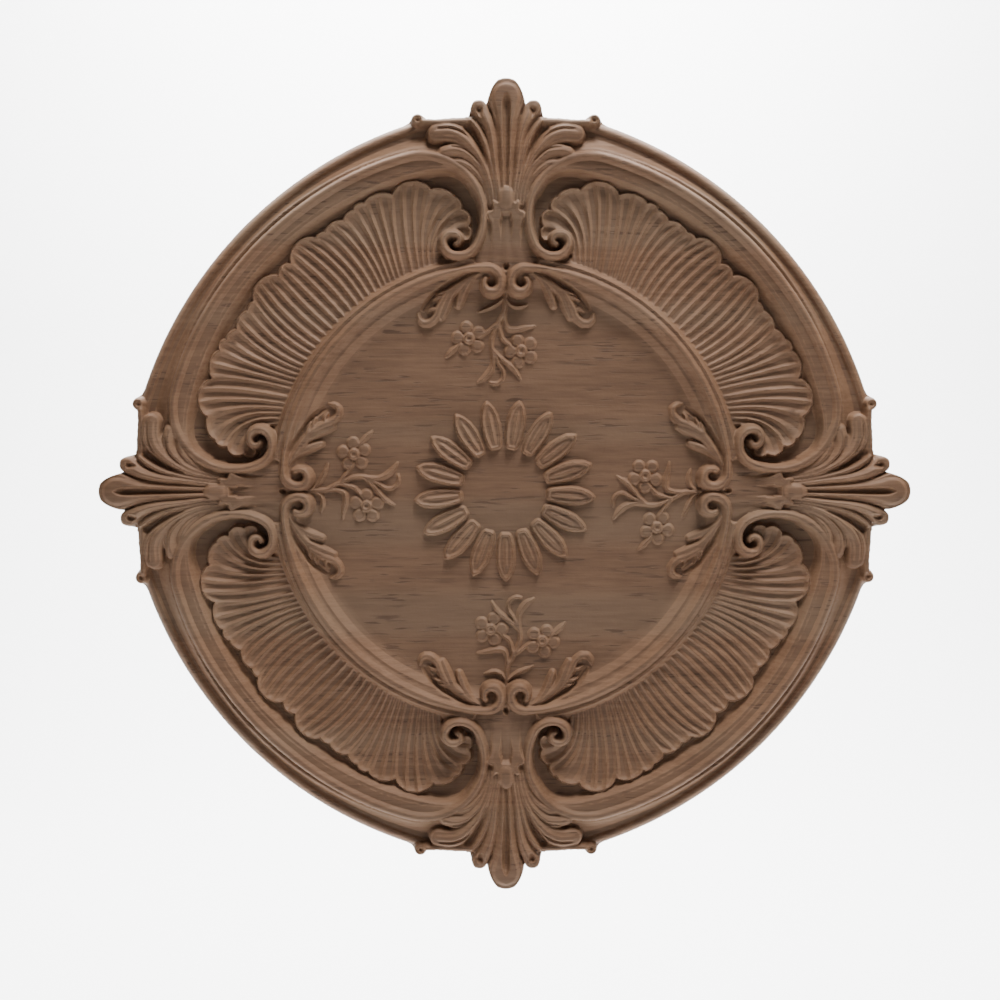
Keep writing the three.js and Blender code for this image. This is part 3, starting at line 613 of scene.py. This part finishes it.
def lay_rosette(grid):
    """Turning petals, each lying on the next one round."""
    length = ROSETTE_RADIUS - ROSETTE_EYE
    radius = np.hypot(grid.u + ROSETTE_SHIFT, grid.v)
    angle = np.degrees(np.arctan2(grid.v, grid.u + ROSETTE_SHIFT))
    height = np.full(grid.h.shape, FIELD)
    for k in range(PETALS):
        middle = FIRST_PETAL + 360 * k / PETALS
        turn = np.radians(np.mod(angle - middle + 180, 360) - 180)
        across = radius * np.sin(turn)
        along = radius * np.cos(turn) - ROSETTE_EYE
        half = profile(along / length, PETAL_WIDTH)
        share = across / half
        inside = (along > 0) & (along < length) & (np.abs(share) < 1) & (np.abs(turn) < 0.6)
        edge = np.minimum(half * (1 - np.abs(share)), np.minimum(along, 0.55 * (length - along)))
        rim = 1.1 * np.exp(-((edge - 0.75) / 0.62) ** 2)
        rib = 1.1 * np.exp(-(across / 0.75) ** 2)
        rib *= ramp(along / length, 0.04, 0.2) * ramp(along / length, 0.86, 0.6)
        petal = FIELD + 1.5 + 0.75 * share + rim + rib
        petal = FIELD + (petal - FIELD) * np.clip(edge / 0.3, 0, 1) ** 0.5
        height = np.where(inside, np.maximum(height, petal), height)
    grid.h = np.maximum(grid.h, height)


# The whole relief

def quarter_relief(cell):
    """Heights and outline distance of the quarter right of and above the centre."""
    grid = Grid(-MARGIN_CELLS * cell, QUARTER_REACH, cell)
    lay_ground(grid)
    lay_frame(grid)
    lay_shell(grid)
    lay_shaft(grid)
    lay_volute(grid)
    lay_torus(grid)
    lay_sprigs(grid)
    lay_finial(grid)
    lay_calyx(grid)
    lay_knob(grid)
    above = grid.v >= grid.u
    grid.h = np.where(above, grid.h, grid.h.T)
    off, _ = grid.nearest(outline(), 12)
    inside = np.where(np.isfinite(off), -off, np.where(inside_rim(grid) > 0, 9, -9))
    return grid, np.where(above, inside, inside.T)


def outline():
    """Outline over the octant, with both ends carried on past the mirror lines."""
    angles = np.radians(np.linspace(RIM_START, 43, 200))
    rim = RIM_CENTRE + RIM_RADIUS * np.stack([np.cos(angles), np.sin(angles)], axis=-1)
    finial = smooth_line(np.array(OUTLINE, float), 4)
    left = finial[1:8] * [-1, 1]
    return np.concatenate([left[::-1], finial, rim])


def unfold(quarter):
    """All four quarters from one, without its margin past both axes."""
    quarter = quarter[MARGIN_CELLS:, MARGIN_CELLS:]
    half = np.concatenate([quarter[:0:-1], quarter], axis=0)
    return np.concatenate([half[:, :0:-1], half], axis=1)


def whole_relief(cell):
    """Grid with the heights of the whole carving, and the distance inside its outline."""
    quarter, inside = quarter_relief(cell)
    reach = quarter.axis[-1]
    whole = Grid(-reach, reach, cell)
    whole.h = unfold(quarter.h)
    spray = Grid(*SPRAY_WINDOW, cell)
    lay_spray(spray)
    fold_spray(whole, spray)
    middle = whole.window(np.zeros((1, 2)), ROSETTE_RADIUS + 5)
    centre = Grid(whole.axis[middle[0].start], whole.axis[middle[0].stop - 1], cell)
    lay_rosette(centre)
    whole.h[middle] = np.maximum(whole.h[middle], centre.h)
    return whole, unfold(inside)


def fold_spray(whole, spray):
    """Lays the upper spray at all four sides, mirrored over both diagonals."""
    u, v = whole.u, whole.v
    side = np.abs(u) > np.abs(v)
    across = np.where(side, v, u) * np.where(np.where(side, u, v) < 0, -1, 1)
    up = np.where(side, np.abs(u), np.abs(v))
    i = (across - spray.low) / spray.cell
    j = (up - spray.low) / spray.cell
    near = (i > 0) & (i < len(spray.axis) - 2) & (j > 0) & (j < len(spray.axis) - 2)
    i, j = i[near], j[near]
    i0, j0 = i.astype(int), j.astype(int)
    fi, fj = i - i0, j - j0
    height = ((1 - fi) * (1 - fj) * spray.h[i0, j0] + fi * (1 - fj) * spray.h[i0 + 1, j0]
              + (1 - fi) * fj * spray.h[i0, j0 + 1] + fi * fj * spray.h[i0 + 1, j0 + 1])
    whole.h[near] = np.maximum(whole.h[near], height)


def soften(heights, radius):
    """Heights blurred a little, as a carved and sanded surface is."""
    reach = int(3 * radius) + 1
    kernel = np.exp(-0.5 * (np.arange(-reach, reach + 1) / radius) ** 2)
    kernel /= kernel.sum()
    for axis in (0, 1):
        margins = [(0, 0), (0, 0)]
        margins[axis] = (reach, reach)
        padded = np.pad(heights, margins, mode="edge")
        index = np.arange(heights.shape[axis])
        heights = sum(weight * np.take(padded, index + k, axis=axis) for k, weight in enumerate(kernel))
    return heights


# Mesh

def relief_mesh(cell, softness):
    """The carved face as a mesh of the grid, trimmed to the outline, in metres."""
    grid, inside = whole_relief(cell)
    heights = soften(grid.h, softness / cell)
    slope_u, slope_v = np.gradient(inside, cell)
    steep = np.maximum(np.hypot(slope_u, slope_v), 0.3)
    snap = np.abs(inside) <= 0.5 * cell
    shift = np.where(snap, inside / steep ** 2, 0)
    u = grid.u - shift * slope_u
    v = grid.v - shift * slope_v
    kept = (inside > 0) | snap
    index = np.full(grid.h.shape, -1)
    index[kept] = np.arange(kept.sum())
    corners = four_corners(index)
    depths = four_corners(inside)
    quads = chosen_faces(corners, depths)
    cut_cells = []
    for missing in range(4):
        others = [(missing + k) % 4 for k in (1, 2, 3)]
        three_corners = [corners[k] for k in others]
        three_depths = [depths[k] for k in others]
        cut_cells.append(chosen_faces(three_corners, three_depths, corners[missing] < 0))
    triangles = np.concatenate(cut_cells)
    starts = np.concatenate([np.arange(len(quads)) * 4, quads.size + np.arange(len(triangles)) * 3])
    loops = np.concatenate([quads.ravel(), triangles.ravel()])
    places = np.stack([u[kept], -heights[kept], v[kept]], axis=-1) / 1000
    mesh = bpy.data.meshes.new(NODE + "_face")
    mesh.vertices.add(len(places))
    mesh.vertices.foreach_set("co", places.astype(np.float32).ravel())
    mesh.loops.add(len(loops))
    mesh.loops.foreach_set("vertex_index", loops.astype(np.int32))
    mesh.polygons.add(len(starts))
    mesh.polygons.foreach_set("loop_start", starts.astype(np.int32))
    mesh.update(calc_edges=True)
    mesh.validate()
    return mesh


def four_corners(values):
    """Values at the four corners of each cell of a grid, in turning order."""
    return [values[:-1, :-1], values[1:, :-1], values[1:, 1:], values[:-1, 1:]]


def chosen_faces(corners, depths, where=True):
    """Corner numbers of cells, where all corners are kept and lie inside the outline on average."""
    chosen = (np.minimum.reduce(corners) >= 0) & (sum(depths) > 0) & where
    return np.stack([corner[chosen] for corner in corners], axis=-1)


def thinned(mesh, triangles):
    """A mesh brought down to some triangles, finer where the carving is finer."""
    piece = bpy.data.objects.new(mesh.name, mesh)
    bpy.context.collection.objects.link(piece)
    thin = piece.modifiers.new("thin", "DECIMATE")
    thin.ratio = min(1, triangles / (2 * len(mesh.polygons)))
    graph = bpy.context.evaluated_depsgraph_get()
    result = bpy.data.meshes.new_from_object(piece.evaluated_get(graph))
    bpy.data.objects.remove(piece)
    bpy.data.meshes.remove(mesh)
    return result


def closed(mesh):
    """A carved face closed by its sides and a flat back."""
    body = bmesh.new()
    body.from_mesh(mesh)
    loose = [vert for vert in body.verts if not vert.link_faces]
    bmesh.ops.delete(body, geom=loose, context="VERTS")
    border = [edge for edge in body.edges if edge.is_boundary]
    made = bmesh.ops.extrude_edge_only(body, edges=border)["geom"]
    for vert in (part for part in made if isinstance(part, bmesh.types.BMVert)):
        vert.co.y = 0
    back = [part for part in made if isinstance(part, bmesh.types.BMEdge) and part.is_boundary]
    bmesh.ops.triangle_fill(body, edges=back, use_beauty=True, use_dissolve=False)
    bmesh.ops.recalc_face_normals(body, faces=body.faces)
    body.to_mesh(mesh)
    body.free()
    mesh.polygons.foreach_set("use_smooth", np.ones(len(mesh.polygons), dtype=bool))
    mesh.set_sharp_from_angle(angle=math.radians(SHARP_ANGLE))
    return mesh


def keep_flats_flat(piece):
    """Normals weighted by face area, so that large flat faces don't show their triangles."""
    flat = piece.modifiers.new("flat", "WEIGHTED_NORMAL")
    flat.mode = "FACE_AREA"
    flat.weight = 100
    flat.keep_sharp = True


# Wood

PORE_COLOR = (0.045, 0.021, 0.01, 1)
# Colour of the painted shade on faces that look straight out from the wall
PAINTED_SHADE_BLACK = (0, 0, 0, 1)


def socket_value(node, **values):
    """Sets unlinked inputs of a node by name, with _ for a space."""
    for name, value in values.items():
        node.inputs[name.replace("_", " ")].default_value = value


def wood_grain_group():
    """Colour, roughness and relief of open pored wood with its grain along X, and painted shade on flat
    faces.
    """
    group = bpy.data.node_groups.new("wood_grain", "ShaderNodeTree")
    for name in ("Light", "Dark", "Grey"):
        group.interface.new_socket(name, in_out="INPUT", socket_type="NodeSocketColor")
    for name in ("Pores", "Boards", "Painted flat shade"):
        group.interface.new_socket(name, in_out="INPUT", socket_type="NodeSocketFloat")
    group.interface.new_socket("Color", in_out="OUTPUT", socket_type="NodeSocketColor")
    group.interface.new_socket("Roughness", in_out="OUTPUT", socket_type="NodeSocketFloat")
    group.interface.new_socket("Height", in_out="OUTPUT", socket_type="NodeSocketFloat")
    nodes, links = group.nodes, group.links
    given = nodes.new("NodeGroupInput")
    out = nodes.new("NodeGroupOutput")
    place = nodes.new("ShaderNodeTexCoord")

    def noise(scale, stretch, detail=4.0, roughness=0.55, distortion=0.0):
        """Noise stretched along the grain, in cells per metre."""
        mapping = nodes.new("ShaderNodeMapping")
        mapping.inputs["Scale"].default_value = stretch
        texture = nodes.new("ShaderNodeTexNoise")
        socket_value(texture, Scale=scale, Detail=detail, Roughness=roughness, Distortion=distortion)
        links.new(place.outputs["Object"], mapping.inputs["Vector"])
        links.new(mapping.outputs["Vector"], texture.inputs["Vector"])
        return texture.outputs["Fac"]

    def between(value, low, high, to_low=0.0, to_high=1.0):
        """A value taken from one range to another, clamped."""
        node = nodes.new("ShaderNodeMapRange")
        node.interpolation_type = "SMOOTHSTEP"
        node.inputs["From Min"].default_value = low
        node.inputs["From Max"].default_value = high
        node.inputs["To Min"].default_value = to_low
        node.inputs["To Max"].default_value = to_high
        links.new(value, node.inputs["Value"])
        return node.outputs["Result"]

    def math_node(kind, a, b):
        node = nodes.new("ShaderNodeMath")
        node.operation = kind
        for slot, value in zip(node.inputs, (a, b)):
            if isinstance(value, (int, float)):
                slot.default_value = value
            else:
                links.new(value, slot)
        return node.outputs["Value"]

    def blend(share, a, b, kind="MIX"):
        node = nodes.new("ShaderNodeMix")
        node.data_type = "RGBA"
        node.blend_type = kind
        for slot, value in ((0, share), (6, a), (7, b)):
            if isinstance(value, (int, float, tuple)):
                node.inputs[slot].default_value = value
            else:
                links.new(value, node.inputs[slot])
        return node.outputs[2]

    bands = noise(14, (1, 6, 6), detail=3)
    streaks = noise(60, (1, 1, 14), detail=5, roughness=0.6)
    fibres = noise(520, (0.06, 1, 1), detail=3, roughness=0.6)
    pore_rows = noise(900, (0.07, 0.6, 1), detail=1.5, roughness=0.5)
    pore_field = noise(26, (1, 1, 3), detail=2)
    # Mask of faces that look straight out from the wall: pores show fully there, and it carries the
    # painted shade laid on them
    facing = nodes.new("ShaderNodeSeparateXYZ")
    links.new(place.outputs["Normal"], facing.inputs["Vector"])
    flat = between(math_node("ABSOLUTE", facing.outputs["Y"], 0), 0.86, 0.995)
    pores = math_node("MULTIPLY", between(pore_rows, 0.6, 0.65), between(pore_field, 0.38, 0.62))
    pores = math_node("MULTIPLY", pores, given.outputs["Pores"])
    pores = math_node("MULTIPLY", pores, between(flat, 0, 1, 0.25, 1))
    boards = noise(1, (0.2, 0.2, 26), detail=0.0)
    tone = math_node("MULTIPLY", math_node("ADD", bands, streaks), 0.35)
    tone = math_node("ADD", tone, math_node("MULTIPLY", fibres, 0.3))
    color = blend(between(tone, 0.36, 0.64), given.outputs["Dark"], given.outputs["Light"])
    grey = math_node("MULTIPLY", between(boards, 0.5, 0.62), given.outputs["Boards"])
    color = blend(grey, color, given.outputs["Grey"])
    color = blend(math_node("MULTIPLY", pores, 0.65), color, PORE_COLOR)
    # Painted shade: faces that look straight out are darkened towards black, standing in for a more
    # grazing light
    color = blend(math_node("MULTIPLY", flat, given.outputs["Painted flat shade"]), color, PAINTED_SHADE_BLACK)
    links.new(color, out.inputs["Color"])
    links.new(between(tone, 0.3, 0.7, 0.75, 0.62), out.inputs["Roughness"])
    tool_marks = noise(620, (1, 1, 1), detail=3, roughness=0.6)
    fine_marks = math_node("MULTIPLY", fibres, 0.25)
    marks = math_node("ADD", fine_marks, math_node("MULTIPLY", tool_marks, 0.5))
    links.new(math_node("SUBTRACT", marks, pores), out.inputs["Height"])
    return group


def wood_material(sizes):
    """Raw carved wood, matt, with painted shade darkening the faces that look straight out from the
    wall.
    """
    material = bpy.data.materials.new("carved_wood")
    material.use_nodes = True
    nodes, links = material.node_tree.nodes, material.node_tree.links
    shader = nodes["Principled BSDF"]
    grain = nodes.new("ShaderNodeGroup")
    grain.node_tree = wood_grain_group()
    grain.inputs["Light"].default_value = (*sizes.light_wood, 1)
    grain.inputs["Dark"].default_value = (*sizes.dark_wood, 1)
    grain.inputs["Grey"].default_value = (*sizes.grey_wood, 1)
    grain.inputs["Pores"].default_value = 1
    grain.inputs["Boards"].default_value = 0.5
    # Strength of the painted shade on faces that look straight out
    grain.inputs["Painted flat shade"].default_value = 0.3
    bump = nodes.new("ShaderNodeBump")
    socket_value(bump, Strength=0.5, Distance=0.0003)
    links.new(grain.outputs["Color"], shader.inputs["Base Color"])
    links.new(grain.outputs["Roughness"], shader.inputs["Roughness"])
    links.new(grain.outputs["Height"], bump.inputs["Height"])
    links.new(bump.outputs["Normal"], shader.inputs["Normal"])
    shader.inputs["Specular IOR Level"].default_value = 0.25
    return material


# Settings

class MedallionSettings(bpy.types.PropertyGroup):
    cell: bpy.props.FloatProperty(
        name="Cell", description="Spacing of the points that the relief is carved on, in millimetres",
        default=0.4, min=0.25, max=1.5,
    )
    softness: bpy.props.FloatProperty(
        name="Softness", description="Rounding of carved edges, in millimetres",
        default=0.3, min=0.1, max=1,
    )
    triangles: bpy.props.IntProperty(
        name="Triangles", description="Triangles kept on the carved face",
        default=186000, min=20000, max=186000,
    )
    light_wood: bpy.props.FloatVectorProperty(
        name="Light wood", description="Colour of the pale grain", subtype="COLOR",
        default=(0.148, 0.08, 0.044), min=0, max=1,
    )
    dark_wood: bpy.props.FloatVectorProperty(
        name="Dark wood", description="Colour of the dark grain", subtype="COLOR",
        default=(0.102, 0.052, 0.027), min=0, max=1,
    )
    grey_wood: bpy.props.FloatVectorProperty(
        name="Grey stave", description="Colour of the greyer staves", subtype="COLOR",
        default=(0.138, 0.087, 0.053), min=0, max=1,
    )


class StudioSettings(bpy.types.PropertyGroup):
    floor_drop: bpy.props.FloatProperty(
        name="Floor drop", description="Height of the medallion's centre over the floor",
        default=0.6, min=0.3, subtype="DISTANCE", unit="LENGTH",
    )
    key_power: bpy.props.FloatProperty(
        name="Key light", description="Power of the light above, in watts",
        default=40.5, min=0,
    )
    fill_power: bpy.props.FloatProperty(
        name="Fill light", description="Power of the light in front, in watts",
        default=2.4, min=0,
    )


# Operators

MIDDLE = (0, 0, 0)
BACKDROP_POWER = 375
CAMERA_TARGET = (-0.0028, 0, -0.0052)
CAMERA_DISTANCE = 0.7
CAMERA_AZIMUTH = -0.74  # degrees to the right of the front
CAMERA_ELEVATION = 3.84  # degrees
CAMERA_LENS = 50.22  # millimetres, on a sensor of 36


class CARVE_OT_medallion(bpy.types.Operator):
    """Carve the medallion's face, close it and give it its wood"""
    bl_idname = "carve.medallion"
    bl_label = "Carve the medallion"

    def execute(self, context):
        settings = context.scene.medallion
        cell = settings.cell
        face = relief_mesh(cell, max(settings.softness, 0.6 * cell))
        mesh = closed(thinned(face, settings.triangles))
        mesh.name = "carved_medallion"
        mesh.materials.append(wood_material(settings))
        piece = bpy.data.objects.new("carved_medallion", mesh)
        context.collection.objects.link(piece)
        keep_flats_flat(piece)
        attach(piece, "root")
        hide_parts(NODE)
        return {"FINISHED"}


class CARVE_OT_studio(bpy.types.Operator):
    """Set up the pale floor, the soft lights and the camera"""
    bl_idname = "carve.studio"
    bl_label = "Set up the studio"

    def execute(self, context):
        settings = context.scene.studio
        pale = bpy.data.materials.new("pale_floor")
        pale.use_nodes = True
        shader = pale.node_tree.nodes["Principled BSDF"]
        socket_value(shader, Base_Color=(0.93, 0.93, 0.93, 1), Roughness=0.9)
        make_sweep(settings.floor_drop, pale)
        make_light("key", (0.22, -0.43, 1.18), MIDDLE, 0.42, settings.key_power)
        make_light("fill", (0.1, -1.6, 0.35), MIDDLE, 1.4, settings.fill_power)
        make_light("backdrop", (0, 0.9, 1.6), (0, 2, 0), 1.6, BACKDROP_POWER)
        make_camera(CAMERA_DISTANCE, CAMERA_AZIMUTH, CAMERA_ELEVATION, CAMERA_LENS)
        world = context.scene.world or bpy.data.worlds.new("studio")
        context.scene.world = world
        world.use_nodes = True
        socket_value(world.node_tree.nodes["Background"], Color=(1, 1, 1, 1), Strength=0.12)
        return {"FINISHED"}


def make_sweep(drop, material):
    """Pale floor that curves up into a backdrop far behind."""
    start, radius, steps = 1.4, 0.8, 12
    section = [(-3, -drop), (start, -drop)]
    for k in range(1, steps + 1):
        turn = math.radians(90 * k / steps)
        section.append((start + radius * math.sin(turn), -drop + radius * (1 - math.cos(turn))))
    section.append((start + radius, 2.6))
    sweep = bmesh.new()
    sides = [[sweep.verts.new((x, y, z)) for y, z in section] for x in (-3, 3)]
    for a, b, c, d in zip(sides[0], sides[1], sides[1][1:], sides[0][1:]):
        sweep.faces.new((a, b, c, d))
    mesh = bpy.data.meshes.new("studio_sweep")
    sweep.to_mesh(mesh)
    sweep.free()
    mesh.polygons.foreach_set("use_smooth", [True] * len(mesh.polygons))
    mesh.materials.append(material)
    piece = bpy.data.objects.new("studio_sweep", mesh)
    bpy.context.collection.objects.link(piece)
    return piece


def make_light(name, place, target, size, power):
    """A square soft light aimed at a point."""
    light = bpy.data.lights.new(name, "AREA")
    light.size = size
    light.energy = power
    lamp = bpy.data.objects.new(name, light)
    lamp.location = place
    lamp.rotation_euler = (Vector(target) - Vector(place)).to_track_quat("-Z", "Y").to_euler()
    lamp.visible_camera = False
    bpy.context.collection.objects.link(lamp)


def make_camera(distance, azimuth, elevation, lens):
    """Camera at the photograph's viewing angle."""
    data = bpy.data.cameras.new("camera")
    data.lens = lens
    data.sensor_width = 36
    data.clip_start = 0.01
    turn, rise = math.radians(azimuth), math.radians(elevation)
    level = math.cos(rise)
    back = Vector((math.sin(turn) * level, -math.cos(turn) * level, math.sin(rise)))
    camera = bpy.data.objects.new("camera", data)
    camera.location = Vector(CAMERA_TARGET) + distance * back
    camera.rotation_euler = (-back).to_track_quat("-Z", "Y").to_euler()
    bpy.context.collection.objects.link(camera)
    bpy.context.scene.camera = camera


class CARVE_PT_medallion(bpy.types.Panel):
    bl_idname = "CARVE_PT_medallion"
    bl_label = "Medallion"
    bl_space_type = "VIEW_3D"
    bl_region_type = "UI"
    bl_category = "Medallion"

    def draw(self, context):
        layout = self.layout
        for group in (context.scene.medallion, context.scene.studio):
            box = layout.box()
            for name in group.bl_rna.properties.keys():
                if name not in ("rna_type", "name"):
                    box.prop(group, name)
        layout.operator(CARVE_OT_medallion.bl_idname)
        layout.operator(CARVE_OT_studio.bl_idname)


CLASSES = (
    MedallionSettings,
    StudioSettings,
    CARVE_OT_medallion,
    CARVE_OT_studio,
    CARVE_PT_medallion,
)


def register():
    for cls in CLASSES:
        bpy.utils.register_class(cls)
    bpy.types.Scene.medallion = bpy.props.PointerProperty(type=MedallionSettings)
    bpy.types.Scene.studio = bpy.props.PointerProperty(type=StudioSettings)


def unregister():
    del bpy.types.Scene.studio
    del bpy.types.Scene.medallion
    for cls in reversed(CLASSES):
        bpy.utils.unregister_class(cls)


def main():
    register()
    bpy.ops.carve.medallion()
    bpy.ops.carve.studio()


if __name__ == "__main__":
    main()
